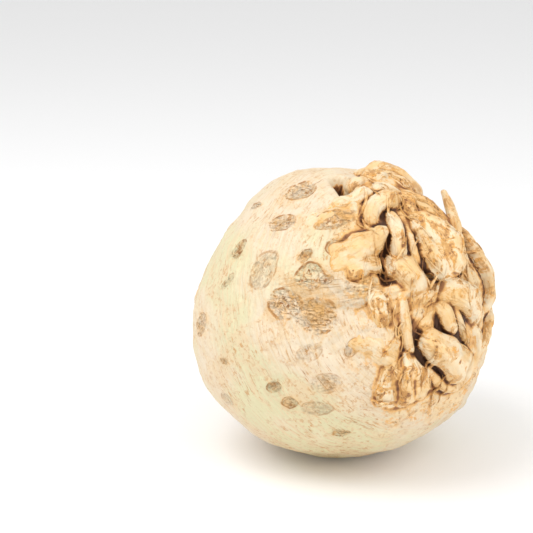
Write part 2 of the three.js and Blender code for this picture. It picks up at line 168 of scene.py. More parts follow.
# Scars of old roots and leaves: x, y, half sizes along and across, turn in degrees, how strongly
# each is marked, and how dark its middle is.
SCARS = [
    (-30, 58, 6.5, 5, 10, 0.9, 0.3), (-49, 67, 2.6, 1.8, 30, 0.7, 0.9),
    (-45, 44, 5.5, 4, 20, 0.9, 0.6), (-67, 42, 4.4, 2.8, 70, 0.8, 1.0),
    (-60, 25, 7.5, 5, 80, 0.4, 0.5), (-77, 28, 4, 1.6, 60, 0.4, 0.1),
    (-27, 35, 7.5, 4, 15, 0.8, 1.0), (-31, 23, 4, 3.6, 0, 0.9, 0.9), (-44, 15, 5.2, 5, 0, 0.9, 0.3),
    (-43, 24, 3, 2, 40, 0.9, 1.0), (-39, 12, 2.8, 1.8, 10, 0.8, 0.9),
    (-56, 7, 6.3, 5.6, 0, 1.0, 0.6), (-46, -1, 7.2, 6.4, 0, 1.0, 0.7),
    (-67, -29, 3.2, 2.2, 30, 0.7, 1.0), (-61, -38, 3.4, 2.6, 20, 0.8, 1.0),
    (-50, -42, 6.4, 3.4, 10, 0.35, 0.3), (-38, -57, 3.4, 2, 0, 0.8, 0.8),
    (-46, -29, 5.6, 4, 20, 0.35, 0.4), (-35, -16, 4, 2.4, 60, 0.5, 0.6),
    (-51, -15, 5, 3, 30, 0.25, 0.1), (-89, -13, 2.2, 1.2, 0, 0.6, 0.9),
    (-94, -39, 4, 3, 30, 0.35, 0.5), (-27, 7, 7, 5, 10, 0.5, 0.6), (-100, 12, 5, 3.6, 60, 0.6, 0.6),
    (-112, 52, 6, 4, 10, 0.7, 0.6), (-134, -8, 3.4, 2.4, 80, 0.7, 0.9),
    (-121, -46, 5, 3.6, 40, 0.5, 0.4), (-70, 96, 4.6, 3.2, 20, 0.8, 0.7),
    (-12, 96, 6, 4.2, 70, 0.7, 0.5), (28, 84, 3.4, 2.6, 0, 0.8, 0.9),
    (66, 62, 6.4, 4.6, 30, 0.8, 0.5), (98, 40, 4, 2.8, 60, 0.7, 0.9),
    (58, 22, 5.6, 4.4, 80, 0.9, 0.6), (76, -4, 3.4, 2.4, 10, 0.7, 1.0),
    (62, -30, 6, 4.4, 40, 0.7, 0.4), (104, -22, 5, 4, 0, 0.6, 0.6), (40, -62, 4, 2.6, 20, 0.8, 0.8),
    (88, -70, 5.4, 3.8, 60, 0.5, 0.4), (128, 10, 4.2, 3, 30, 0.6, 0.8),
    (26, 128, 5, 3.4, 10, 0.6, 0.7), (-40, 136, 4, 3, 50, 0.6, 0.8),
    (84, 104, 5, 3.6, 80, 0.6, 0.5),
]
SCAR_RIM, SCAR_PIT, SCAR_CRACK, SCAR_GRAIN = 0.75, 0.45, 0.6, 0.5
# The root end's rough zone: its middle and half sizes on the map.
ZONE_X, ZONE_Y, ZONE_WIDE, ZONE_HIGH = 10, -2, 45, 61
# Wrinkles round the root end, creases towards it, and the fibres of the folds: their depths.
WRINKLE, CREASE, FIBRE_GROOVE = 0.10, 0.7, 0.55
# The crown's rings of leaf scars: from one groove to the next, the grooves' depth, and the bud's eye.
RING_STEP, RING_GROOVE, BUD_EYE = 2.7, 0.9, 1.2


def floor_cut(directions, radius):
    """The radius, shortened where it would pass below the surface that the root rests on."""
    down = np.maximum(-directions[:, 2], 1e-9)
    return np.minimum(radius, CENTRE[2] / down)


def body_radius(directions):
    """The distance from the middle of the ball to its broad shape along each direction: the ball
    with its swells and folds added."""
    radius = np.full(len(directions), BALL_RADIUS)
    for x, y, spread, height in SWELLS:
        gap = np.linalg.norm(directions - heading(x, y), axis=1) * BALL_RADIUS
        radius += height * np.exp(-((gap / spread) ** 2))
    for width, height, places in FOLDS:
        gap = path_distance(directions, smooth_path(places, 4))
        radius += height * np.exp(-((gap / width) ** 2))
    points = directions * BALL_RADIUS
    return radius + 0.7 * waves(points, 38, 3) + 0.35 * waves(points, 14, 4)


def scar_at(directions):
    """The nearest scar of each direction: the distance from its middle in half sizes of the scar,
    uneven as its rim is, its strength, the darkness of its middle, and the place in it along and
    across, with a number of its own."""
    nearest = np.full(len(directions), 3.0)
    strength, core = np.zeros(len(directions)), np.zeros(len(directions))
    place = np.zeros((len(directions), 3))
    points = directions * BALL_RADIUS
    wander = 0.09 * grain(points, 4.0, 21) + 0.05 * grain(points, 1.4, 22)
    for number, (x, y, along, across, turn, mark, dark) in enumerate(SCARS):
        c, s = math.cos(math.radians(turn)), math.sin(math.radians(turn))
        spot = heading(x, y)
        east = np.cross(np.array([0.0, 0.0, 1.0]), spot)
        east /= np.linalg.norm(east)
        off = (directions - spot) * BALL_RADIUS
        u, v = off @ east, off @ np.cross(spot, east)
        u, v = (c * u + s * v) / along, (c * v - s * u) / across
        gap = np.hypot(u, v) + wander
        closer = (gap < nearest) & (directions @ spot > 0.5)
        nearest[closer], strength[closer], core[closer] = gap[closer], mark, dark
        place[closer] = np.stack([u[closer] * along, v[closer] * across, 0 * u[closer] + 9.7 * number], 1)
    return nearest, strength, core, place


def root_zone(x, y, points):
    """1 in the middle of the root end, fading to 0 on the smooth skin round it."""
    wander = 0.22 * grain(points, 14.0, 31) + 0.12 * grain(points, 5.0, 32)
    return 1 - ease(np.hypot((x - ZONE_X) / ZONE_WIDE, (y - ZONE_Y) / ZONE_HIGH) + wander, 0.75, 1.15)


def fold_share(directions):
    """1 along the folds that run into the root end from the left, where the skin is drawn into
    fibres, and 0 away from them."""
    share = np.zeros(len(directions))
    for _, _, places in FOLDS[:2]:
        gap = path_distance(directions, smooth_path(places, 4))
        share = np.maximum(share, np.exp(-((gap / 4.5) ** 2)))
    return share


def crown_rings(directions):
    """How near a place is to the crown, in millimetres, made uneven by noise, and how much it lies
    in one of the grooves between the rings of leaf scars there, from 0 to 1."""
    points = directions * BALL_RADIUS
    far = np.arccos(np.clip(-(directions @ ROOT_AXIS), -1, 1)) * BALL_RADIUS
    uneven = far + 1.5 * grain(points, 7.0, 61) + 0.7 * grain(points, 2.4, 62)
    groove = (0.5 + 0.5 * np.cos(2 * math.pi * uneven / RING_STEP)) ** 3
    groove = groove * ease(uneven, 3.4, 4.6) * ease(uneven, 15, 10)
    return uneven, groove * ease(grain(points, 5.0, 63), -0.5, 0.1)


def skin_relief(directions):
    """Fine relief of the skin in millimetres: lumps, wrinkles along circles round the root end,
    folds that run towards it, and the rims, pits and rings of the scars."""
    points = directions * BALL_RADIUS
    x, y = map_place(directions)
    reach, bearing = np.hypot(x, y), np.arctan2(x, y)
    zone = root_zone(x, y, points)
    relief = 0.45 * grain(points, 9.0, 11) + 0.16 * grain(points, 3.0, 12)
    hoop = np.stack([reach / 2.2, np.cos(bearing) * 4, np.sin(bearing) * 4], 1)
    relief += WRINKLE * grain(hoop, 1.0, 13) * (1 - zone)
    ray = np.stack([reach / 16, np.cos(bearing) * 7, np.sin(bearing) * 7], 1)
    near = ease(reach, 95, 30)
    crease = 1 - np.abs(grain(ray + 0.3 * grain(points, 9.0, 15)[:, None], 1.0, 14)) * 4
    relief -= CREASE * np.clip(crease, 0, 1) ** 3 * near * (0.4 + 0.6 * (x < 0))
    gap, mark, core, place = scar_at(directions)
    broken = ease(grain(points, 3.5, 23), -0.25, 0.25)
    rim = np.exp(-(((gap - 1.08) / 0.20) ** 2)) * (0.35 + 0.65 * broken)
    pit = 1 - ease(gap, 0.78, 1.0)
    drawn_out = place * np.array([0.35, 1.0, 1.0]) + 0.5 * grain(points, 3.0, 24)[:, None]
    crack = np.clip(1 - 3 * np.abs(grain(drawn_out, 1.7, 16)), 0, 1)
    relief += mark * (SCAR_RIM * rim - SCAR_PIT * pit - SCAR_CRACK * crack * pit * (0.4 + 0.6 * core))
    relief += mark * SCAR_GRAIN * grain(points, 1.7, 19) * pit
    for height, size, seed in ((0.8, 5.0, 17), (0.5, 2.2, 18), (0.3, 1.2, 20)):
        relief += zone * height * grain(points, size, seed)
    from_bud, groove = crown_rings(directions)
    relief += 0.5 * grain(points, 1.7, 64) * ease(from_bud, 15, 9)
    relief -= RING_GROOVE * groove + BUD_EYE * ease(from_bud, 1.6, 0.6)
    fibre = np.stack([reach / 14, np.cos(bearing) * 17, np.sin(bearing) * 17], 1)
    fibre_groove = np.clip(1 - 3 * np.abs(grain(fibre, 1.0, 25)), 0, 1)
    return relief - FIBRE_GROOVE * fold_share(directions) * fibre_groove


def grid_faces(rings, sides, first=0):
    """Faces of a closed grid: a point, rings of sides points that run clockwise as seen from that
    point's end, and a last point. They face outwards."""
    side = np.arange(sides)
    after = (side + 1) % sides
    ring = first + 1 + np.arange(rings)[:, None] * sides
    quads = np.stack([ring[:-1] + after, ring[1:] + after, ring[1:] + side, ring[:-1] + side], 2)
    last = first + 1 + rings * sides
    start = [(first, b, a) for a, b in zip((ring[0] + side).tolist(), (ring[0] + after).tolist())]
    stop = [(a, b, last) for a, b in zip((ring[-1] + side).tolist(), (ring[-1] + after).tolist())]
    return start + quads.reshape(-1, 4).tolist() + stop


def new_piece(name, points, faces, marks):
    """A smooth mesh piece of millimetre points round the ball's middle, with its marks kept as
    point attributes, that rides with the root and stands in for the plain solid."""
    mesh = bpy.data.meshes.new(name)
    mesh.from_pydata(((points + CENTRE) * MM).tolist(), [], faces)
    mesh.update()
    mesh.polygons.foreach_set("use_smooth", np.ones(len(mesh.polygons), bool))
    for key, values in marks.items():
        kind = "FLOAT" if values.ndim == 1 else "FLOAT_VECTOR"
        field = "value" if values.ndim == 1 else "vector"
        mark = mesh.attributes.new(key, kind, "POINT")
        mark.data.foreach_set(field, values.astype(np.float32).ravel())
    piece = bpy.data.objects.new(name, mesh)
    bpy.context.scene.collection.objects.link(piece)
    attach(piece, "root")
    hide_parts("celeriac")
    return piece


# The body's flesh rises between the trimmed roots that grow from it, so they are set out first.
# Each has a squareness of its section (2 is oval), a brownness, a roughness of its ridges in
# millimetres, and rows of x, y, lift of its middle above the ball, and half its width and
# thickness.
ROOTS = {
    "top_back": (2.6, 0.15, 0.25, [
        (-1, 56, -8, 3, 3), (4.5, 59.5, -6, 4.4, 4.2), (11.5, 62, -5, 5, 4.8), (19, 62.5, -3.6, 5, 4.8),
        (26, 58.5, -2.8, 4.8, 4.8), (30.5, 51, -4, 4.4, 4.4), (31, 44, -6.4, 3.6, 3.6)
    ]),
    "top_front": (4.0, 0.8, 0.6, [
        (1, 52.5, -5.4, 3, 3), (4.5, 54.5, -3.6, 3.8, 4), (9.5, 55.8, -3.2, 4.2, 4.2),
        (15, 54.5, -3.2, 4.2, 4.2), (19, 49.5, -3.6, 4, 4.2), (21.5, 44, -5.2, 3.4, 3.6)
    ]),
    "crinkled_lobe": (2.8, 0.4, 0.9, [
        (-11.4, 49.6, -4.4, 2.4, 2.8), (-8.6, 50.6, -3, 3.2, 3.6), (-4.4, 51, -2.8, 3.4, 3.8),
        (-0.6, 51, -4.4, 2.8, 3)
    ]),
    "under_top": (2.4, 0.1, 0.2, [
        (-9, 43, -5, 2.4, 2.8), (-5, 44, -2.8, 3.2, 3.4), (0.5, 44, -1.8, 3.4, 3.8),
        (5.5, 42, -2.6, 2.8, 3.2), (9, 40, -4.5, 2.2, 2.6)
    ]),
    "upper_tongue": (2.4, 0.0, 0.1, [
        (-44, 37, -9, 7, 4), (-34, 40, -5.6, 6, 5), (-24, 42, -3.8, 4.4, 4.8), (-16, 42.6, -3, 3.6, 4.4),
        (-10, 42, -2.4, 4.3, 4.8), (-5.5, 40.6, -3.2, 3.8, 4.2)
    ]),
    "bent_knob": (2.5, 0.05, 0.1, [
        (-14.2, 27.6, -5, 2.4, 3), (-13.2, 31, -3, 3.2, 4.2), (-10.4, 34.6, -2, 4.2, 5),
        (-5.8, 36.4, -1.6, 4.8, 5.2), (-0.8, 36.6, -2, 4.6, 5), (2.4, 35.6, -3.4, 3.6, 4.2)
    ]),
    "brown_knob": (2.6, 0.9, 0.7, [
        (6, 39, -5, 4, 4), (5.5, 35, -3, 4.8, 4.8), (4.5, 30.5, -3.2, 4.2, 4.4), (4, 27, -5.5, 3, 3)
    ]),
    "finger": (2.6, 0.3, 0.35, [
        (-6, 31.4, -2.6, 2.4, 3), (-6.4, 27.6, -1.2, 2.9, 4.2), (-8, 21.4, -1, 2.7, 4.2),
        (-9.2, 16.4, -1, 2.8, 4.4), (-10.2, 13, -2.4, 2.2, 3.4)
    ]),
    "pointed_tongue": (2.4, 0.2, 0.4, [
        (-40, 16, -9, 7.5, 5), (-32, 18, -5, 7.4, 5.5), (-24.5, 20, -2.8, 6.4, 5.6),
        (-18.5, 21.6, -1.6, 4.8, 4.8), (-13.5, 23.4, -0.8, 2.9, 3.2), (-9.5, 25, -0.4, 1.2, 1.4)
    ]),
    "under_tongue": (2.4, 0.6, 0.6, [
        (-38, 11, -9, 6, 4), (-32, 13.5, -5, 6.5, 4.8), (-26, 13.6, -3.4, 6, 5),
        (-21.5, 13.4, -3.8, 4.4, 4.4), (-19, 13.4, -6, 3, 3.4)
    ]),
    "middle_lump": (2.5, 0.3, 0.4, [
        (-12, 15, -8, 4, 3.6), (-10.4, 10.6, -4, 5.8, 5.2), (-8.2, 5.4, -2.8, 6.2, 5.6),
        (-6, 0.6, -4, 5, 5), (-4.4, -3, -7, 3.4, 3.4)
    ]),
    "cut_plank": (5.0, 0.6, 0.2, [
        (8.4, 31, -7.4, 4, 4), (8.2, 27, -4.2, 6.6, 5.6), (8.2, 22, -3, 8.6, 6.4),
        (8.2, 15.5, -2.8, 9.8, 6.8), (8.4, 10, -2.8, 10.2, 7), (8.8, 6.6, -3, 9.8, 6.8),
        (9, 4.8, -3.8, 7, 5.6), (9, 3.9, -5.6, 3, 3)
    ]),
    "outer_ridge": (2.6, 0.8, 0.8, [
        (8, 42, -7, 2.6, 2.6), (12, 40.5, -4, 3, 3), (18.5, 36.5, -3, 3.2, 3.2), (22.5, 28.5, -2.6, 3, 3.2),
        (23.5, 19, -2.4, 3, 3.2), (23.2, 9, -3, 2.8, 3), (22.8, 1, -5, 2.4, 2.4)
    ]),
    "inner_ridge": (2.6, 0.7, 0.7, [
        (5, 37, -6, 2.4, 2.4), (9.5, 35, -3, 2.8, 3), (15, 31, -2.4, 2.8, 3), (19, 24, -2, 2.6, 3),
        (20.6, 15, -2.4, 2.4, 2.8), (20.8, 8, -4.4, 2, 2.2)
    ]),
    "thin_ridge": (2.6, 0.6, 0.5, [
        (-1.5, 30, -6, 2, 2.2), (-2.2, 24, -2.2, 2.2, 2.6), (-3.6, 16, -1.6, 2.2, 2.6),
        (-4, 9, -2.2, 2.2, 2.6), (-2.5, 3, -5.5, 2, 2)
    ]),
    "large_knob": (3.4, 0.35, 0.5, [
        (0, 0.6, -7, 4, 4), (5, -1.6, -4.4, 5.2, 5.2), (11.5, -4.6, -3, 6.4, 6), (17, -8.8, -2.8, 6.6, 6),
        (21.5, -14, -4.2, 5, 5), (23, -18, -7.5, 4, 4)
    ]),
    "oval_bulb": (2.4, 0.4, 0.3, [
        (-0.2, -6.4, -2.6, 2.2, 2.8), (1.4, -10, -1, 3.3, 3.8), (3.2, -14.5, -0.6, 3.5, 4),
        (5.2, -19, -2.4, 2.4, 3)
    ]),
    "narrow_strand": (2.6, 0.2, 0.25, [
        (4, -5.5, -4, 1.5, 2), (7.4, -10, -1.2, 1.8, 2.4), (10, -15.5, -0.8, 2, 2.6),
        (12.2, -21, -1.2, 2, 2.6), (13.4, -26, -3, 1.6, 2), (13.7, -29, -5, 1.2, 1.6)
    ]),
    "arched_lump": (2.5, 0.5, 0.5, [
        (-12.5, -11, -5.4, 2.4, 2.6), (-11.2, -7, -3.6, 3.2, 3.4), (-8, -4, -3, 3.6, 4),
        (-3.5, -3, -3, 3.6, 4), (0.6, -4.6, -5, 3, 3.4)
    ]),
    "under_arch": (2.5, 0.6, 0.6, [
        (-10.5, -15.5, -5, 3.6, 3.6), (-6.4, -12.6, -3, 4.4, 4.4), (-2.4, -10.8, -3.4, 4, 4),
        (0.6, -12.4, -6, 3, 3)
    ]),
    "smooth_knob": (3.0, 0.1, 0.3, [
        (-9, -16.5, -3.6, 3.4, 4), (-5.4, -19.8, -1.6, 5.8, 5.8), (0.5, -24.4, -0.6, 7, 6.8),
        (6.4, -29.2, -0.8, 6.9, 6.7), (10.6, -32.4, -2.2, 5.6, 5.8), (12.6, -34, -4.4, 4, 4.2)
    ]),
    "curled_strand": (2.5, 0.2, 0.2, [
        (-9, -23, -4, 1.8, 2.2), (-7.4, -28.5, -1.4, 2.1, 2.8), (-3, -33.4, -0.4, 2.4, 3),
        (3, -38, -0.4, 2.6, 3), (11, -41, -0.8, 2.6, 3), (18, -38.5, -1.6, 2.4, 2.8),
        (22, -32, -3, 2.2, 2.6), (22.6, -27, -5, 1.8, 2)
    ]),
    "wedge": (3.0, 0.7, 0.7, [
        (-15.6, -20, -5, 3, 3), (-16.4, -25, -2.6, 7, 4.8), (-16.2, -31, -1.8, 9.4, 5.4),
        (-15.2, -37, -2.2, 10.4, 5.6), (-14.2, -43, -5.4, 9, 4.8), (-13.8, -48, -9, 4, 3)
    ]),
    "wedge_left": (2.6, 0.75, 0.5, [
        (-17.6, -21.2, -4, 1.2, 2), (-21.2, -25.5, -2, 2.4, 3.6), (-23.8, -31, -1.6, 2.9, 4.2),
        (-24.4, -36.5, -2, 3, 4.2), (-23.4, -41.5, -5, 2.4, 3.2)
    ]),
    "wedge_middle": (2.6, 0.7, 0.5, [
        (-15.6, -20, -3.4, 1.4, 2.2), (-16, -25, -1, 2.4, 4), (-16.4, -32, -0.2, 3, 5),
        (-16, -38.5, -1, 3.2, 5), (-15.4, -43.5, -4.2, 2.6, 3.8)
    ]),
    "wedge_right": (2.6, 0.6, 0.5, [
        (-14.4, -20.5, -3.8, 1.2, 2), (-12.6, -26, -1.6, 2.2, 3.6), (-10.8, -32, -1, 2.8, 4.6),
        (-9, -38, -1.6, 2.8, 4.4), (-7.8, -42, -4.2, 2.2, 3.2)
    ]),
    "pale_strand": (2.5, 0.0, 0.1, [
        (-14.2, 4, -6, 1.7, 2), (-13.9, -1.5, -2.8, 2, 2.8), (-14.3, -8, -1.6, 2.2, 3.2),
        (-14.6, -15, -1.4, 2.3, 3.4), (-13.6, -21.5, -2.4, 2.2, 3), (-12, -27, -5, 2, 2.4)
    ]),
    "rough_knob": (2.5, 0.7, 0.7, [
        (-23.6, 4, -6.4, 4, 4), (-23, -1, -3.6, 4.8, 4.8), (-23.4, -7, -2.8, 5, 5),
        (-22.8, -11.8, -3.8, 4.2, 4.4), (-21.5, -15.4, -6.5, 3, 3)
    ]),
    "pale_lobe": (2.4, 0.05, 0.2, [
        (-38, -8, -9, 6, 4), (-31, -13.5, -5, 6, 5), (-25.6, -18, -3.2, 5.6, 5.2),
        (-21, -21.4, -2.8, 4.6, 5), (-17.6, -24, -4.4, 3.4, 4), (-15.8, -26.5, -7, 2.6, 3)
    ]),
    "standing_strand": (2.6, 0.3, 0.3, [
        (23.6, 13.5, -4, 1.4, 1.6), (25, 20, 0.2, 1.8, 2), (26.5, 26, 1.4, 1.9, 2),
        (27, 31, 2.8, 1.7, 1.7), (26.5, 36, 4.6, 1.1, 1.2)
    ]),
    "rim_strand": (2.6, 0.35, 0.4, [
        (30, 21.5, -0.4, 1, 1.2), (29.6, 16, 0.4, 1.9, 2.2), (31.5, 9, 0.8, 2.3, 2.6),
        (36, 2, 0.6, 2.5, 2.8), (38.5, -5, 0, 2.5, 2.8), (36, -12, -1.6, 2.3, 2.6), (30, -16, -4.5, 1.8, 2)
    ]),
    "tapered_strand": (2.6, 0.35, 0.4, [
        (38.6, -14, -0.6, 1, 1.2), (36.4, -17.5, -0.4, 1.8, 2.1), (32, -23.5, -0.8, 2.2, 2.5),
        (27, -30, -1.4, 2.3, 2.6), (22, -37.5, -2.6, 2.1, 2.4), (18.5, -42.5, -5.5, 1.8, 2)
    ]),
    "side_ridge": (2.6, 0.35, 0.4, [
        (15.5, -12, -5, 2, 2.2), (20, -18.5, -2.6, 2.5, 2.8), (24.5, -26, -2, 2.6, 2.8),
        (25.5, -33, -2.4, 2.4, 2.6), (21, -39, -4.6, 2, 2.2)
    ]),
    "far_stub": (2.8, 0.4, 0.6, [
        (29, 27, -7, 4, 4), (34, 19, -4, 5, 4.8), (37, 10, -5, 4.6, 4.6), (38, 4, -8, 3, 3)
    ]),
    "far_low_stub": (2.8, 0.4, 0.6, [
        (43, -2, -8, 4, 4), (44, -10, -5, 5, 4.8), (41, -19, -5.4, 4.4, 4.4), (37, -26, -8, 3, 3)
    ]),
    "low_mound": (2.4, 0.5, 0.6, [
        (-3, -51, -8, 4, 3), (4, -49, -5.4, 5, 4.4), (12, -47, -5.6, 5, 4.4), (19, -43, -8, 3, 3)
    ]),
}
LOOSE = ("standing_strand", "rim_strand", "tapered_strand")
STATIONS, ROOT_SIDES = 72, 44
KNOB_LENGTH, KNOB_SHARE = 11, 0.12


def root_skin(rows, squareness, ridges, seed, stations=STATIONS, sides=ROOT_SIDES):
    """The skin of one root: a squarish oval carried along a smooth path over the ball. It shrinks
    to a point along a quarter circle at both ends, and is knobbed and fluted along its length.
    With it come the millimetres along and round it, from 0 at its start and its outer side."""
    path = smooth_path(rows, 16)
    middle = heading(path[:, 0], path[:, 1]) * (BALL_RADIUS + path[:, 2])[:, None]
    length = np.concatenate([[0], np.cumsum(np.linalg.norm(np.diff(middle, axis=0), axis=1))])
    at = length[-1] * (1 - np.cos(np.linspace(0, math.pi, stations + 2))) / 2
    middle = np.stack([np.interp(at, length, middle[:, k]) for k in range(3)], 1)
    width, thick = np.interp(at, length, path[:, 3]), np.interp(at, length, path[:, 4])
    ahead = np.gradient(middle, at, axis=0)
    ahead /= np.linalg.norm(ahead, axis=1)[:, None]
    across = np.cross(middle, ahead)
    across /= np.linalg.norm(across, axis=1)[:, None]
    above = np.cross(ahead, across)
    near_start = np.clip(at / path[0, 3], 0, 1)
    near_end = np.clip((length[-1] - at) / path[-1, 3], 0, 1)
    fade = np.sqrt(1 - (1 - near_start) ** 2) * np.sqrt(1 - (1 - near_end) ** 2)
    turn = np.linspace(0, 2 * math.pi, sides, endpoint=False)
    side = np.sign(np.cos(turn)) * np.abs(np.cos(turn)) ** (2 / squareness)
    rise = np.sign(np.sin(turn)) * np.abs(np.sin(turn)) ** (2 / squareness)
    way = (across[1:-1, None] * (side * width[1:-1, None])[..., None]
           + above[1:-1, None] * (rise * thick[1:-1, None])[..., None])
    place = (middle[1:-1, None] + way).reshape(-1, 3)
    rough = 1 + KNOB_SHARE * waves(place, KNOB_LENGTH, 5)
    size = np.minimum(width, thick)[1:-1, None].repeat(sides, 1).ravel()
    along = at[1:-1, None].repeat(sides, 1).ravel()
    around = (np.abs(turn - math.pi / 2)[None] * size.reshape(-1, sides)).ravel()
    flutes = np.stack([np.cos(turn)[None] * size.reshape(-1, sides) / 1.6,
                       np.sin(turn)[None] * size.reshape(-1, sides) / 1.6,
                       along.reshape(-1, sides) / 15], 2).reshape(-1, 3)
    fine = ridges * (grain(flutes, 1.0, seed) - 0.6 * np.abs(grain(flutes, 0.45, seed + 3)))
    fine += 0.6 * grain(place, 6.0, seed + 1)
    fine += (0.15 + 0.25 * ridges) * grain(place, 1.8, seed + 2)
    fine *= np.clip(size / 4, 0.25, 1)
    factor = (rough + fine / size).reshape(-1, sides)
    rings = middle[1:-1, None] + way * (factor * fade[1:-1, None])[..., None]
    points = np.vstack([middle[:1], rings.reshape(-1, 3), middle[-1:]])
    flow = np.stack([np.r_[0, around, 0], np.r_[0, along, length[-1]],
                     np.full(len(points), seed * 3.7)], 1)
    return points, flow


root_points, root_flow, root_brown = [], [], []
for number, (squareness, brown, ridges, rows) in enumerate(ROOTS.values()):
    points, flow = root_skin(rows, squareness, ridges, 40 + 3 * number)
    root_points.append(points)
    root_flow.append(flow)
    root_brown.append(np.full(len(points), float(brown)))

# How deep each place lies under the skin round about it, from one height map of the root end. The colours
# darken with soil and painted shade where it is deep.
CELL, HALF_MAP, MAP_MARGIN = 0.4, 80.0, 8
GAP_REACH, FLESH_DROP, FLESH_GRAIN = 5.0, 1.3, 0.9
cells = int(2 * HALF_MAP / CELL)
cell_at = (np.arange(cells) + 0.5) * CELL - HALF_MAP


def cell_of(x, y):
    """The row and column of the height map's cell that holds a map place."""
    column = np.clip(((x + HALF_MAP) / CELL).astype(int), 0, cells - 1)
    row = np.clip(((y + HALF_MAP) / CELL).astype(int), 0, cells - 1)
    return row, column


def blurred(height, spread):
    """A map blurred by a bell curve of that spread in millimetres."""
    wave = np.fft.fftfreq(cells, CELL)
    bell = np.exp(-2 * (math.pi * wave * spread) ** 2)
    return np.real(np.fft.ifft2(np.fft.fft2(height) * bell[:, None] * bell[None]))


def spread_out(height, reach):
    """A map in which every cell takes the highest value within that reach in millimetres."""
    cells_out = int(reach / CELL)
    highest = height.copy()
    for down, over in product(range(-cells_out, cells_out + 1), repeat=2):
        if down * down + over * over <= cells_out * cells_out:
            highest = np.maximum(highest, np.roll(height, (down, over), (0, 1)))
    return highest


map_x, map_y = np.meshgrid(cell_at, cell_at)
height = body_radius(heading(map_x.ravel(), map_y.ravel())).reshape(cells, cells)


def raised(height, roots):
    """The height map with the outer skin of those roots laid over it, at four by four places in
    each face of their nets."""
    height = height.copy()
    for points in roots:
        net = points[1:-1].reshape(STATIONS, ROOT_SIDES, 3)
        beside = np.roll(net, -1, 1)
        for down, over in product((0, 0.25, 0.5, 0.75), repeat=2):
            line = net * (1 - over) + beside * over
            place = (line[:-1] * (1 - down) + line[1:] * down).reshape(-1, 3)
            radius = np.linalg.norm(place, axis=1)
            np.maximum.at(height, cell_of(*map_place(place / radius[:, None])), radius)
    return height


height_fast = raised(height, [p for name, p in zip(ROOTS, root_points) if name not in LOOSE])
height_closed = blurred(-spread_out(-spread_out(height_fast, GAP_REACH), GAP_REACH), 0.9)


def filled(directions, radius):
    """The body's radius, raised between the roots to a little below the lower of the two roots on
    either side, as flesh joins them there, and cut down again along the crevices."""
    x, y = map_place(directions)
    row, column = cell_of(x, y)
    points = directions * BALL_RADIUS
    near = np.maximum(np.abs(x), np.abs(y)) < HALF_MAP - MAP_MARGIN
    level = np.minimum(height_closed[row, column] - FLESH_DROP, BALL_RADIUS)
    level += FLESH_GRAIN * grain(points, 6.0, 71)
    lift = np.where(near, level - radius, -9.0)
    radius = radius + 0.5 * (lift + np.sqrt(lift * lift + 0.6)) * near
    for width, depth, places in CREVICES:
        gap = path_distance(directions, smooth_path(places, 4))
        radius -= depth * np.exp(-((gap / width) ** 2))
    return radius


height = filled(heading(map_x.ravel(), map_y.ravel()), height.ravel()).reshape(cells, cells)
height = raised(height, root_points)
height_fine, height_near, height_small, height_mid, height_broad = [
    blurred(height, spread) for spread in (0.45, 0.9, 1.5, 2.6, 7.0)
]
crease = (0.45 * (height_mid - height_fine) + 0.9 * (height_small - height_fine)
          + 1.8 * (height_near - height_fine))


def hollow_at(points):
    """About 1 in a crevice, 0 on open skin and -1 on the top of a knob: how far the skin dips
    there in the height map, with how far the point lies below that map."""
    radius = np.linalg.norm(points, axis=1)
    x, y = map_place(points / radius[:, None])
    row, column = cell_of(x, y)
    near = np.maximum(np.abs(x), np.abs(y)) < HALF_MAP - MAP_MARGIN
    # Deeper still for a point below the map, as under a root that lies over it, and across the broad dip of
    # the root end: this sets painted shade as well as soil.
    low = (crease[row, column] + 0.35 * np.maximum(height_fine[row, column] - radius - 0.3, 0)
           + 0.14 * np.maximum(height_broad[row, column] - radius - 1.2, 0))
    return np.where(near, np.clip(low, -1, 1.6), 0.0)


def zone_at(points):
    """How much each point lies in the rough zone of the root end, from 0 to 1."""
    directions = points / np.linalg.norm(points, axis=1)[:, None]
    return root_zone(*map_place(directions), directions * BALL_RADIUS)


# Rings of points run from the middle of the root end to the crown. The near ones are even, out to
# that reach, and the far ones draw together towards the crown, by that power.
RINGS_NEAR, RINGS_FAR, SIDES = 155, 120, 360
NEAR_REACH, FAR_POWER = 78.0, 1.4
reach = np.concatenate([
    np.linspace(0, NEAR_REACH, RINGS_NEAR + 1)[1:],
    CROWN_REACH - (CROWN_REACH - NEAR_REACH) * (1 - np.linspace(0, 1, RINGS_FAR + 2)[1:-1]) ** FAR_POWER,
])
turn = np.linspace(0, 2 * math.pi, SIDES, endpoint=False)
grid_x = np.outer(reach, np.sin(turn)).ravel()
grid_y = np.outer(reach, np.cos(turn)).ravel()
skin_ways = np.vstack([ROOT_AXIS, heading(grid_x, grid_y), -ROOT_AXIS])
skin_radius = filled(skin_ways, body_radius(skin_ways)) + skin_relief(skin_ways)
skin_radius = floor_cut(skin_ways, skin_radius)
skin_points = skin_ways * skin_radius[:, None]
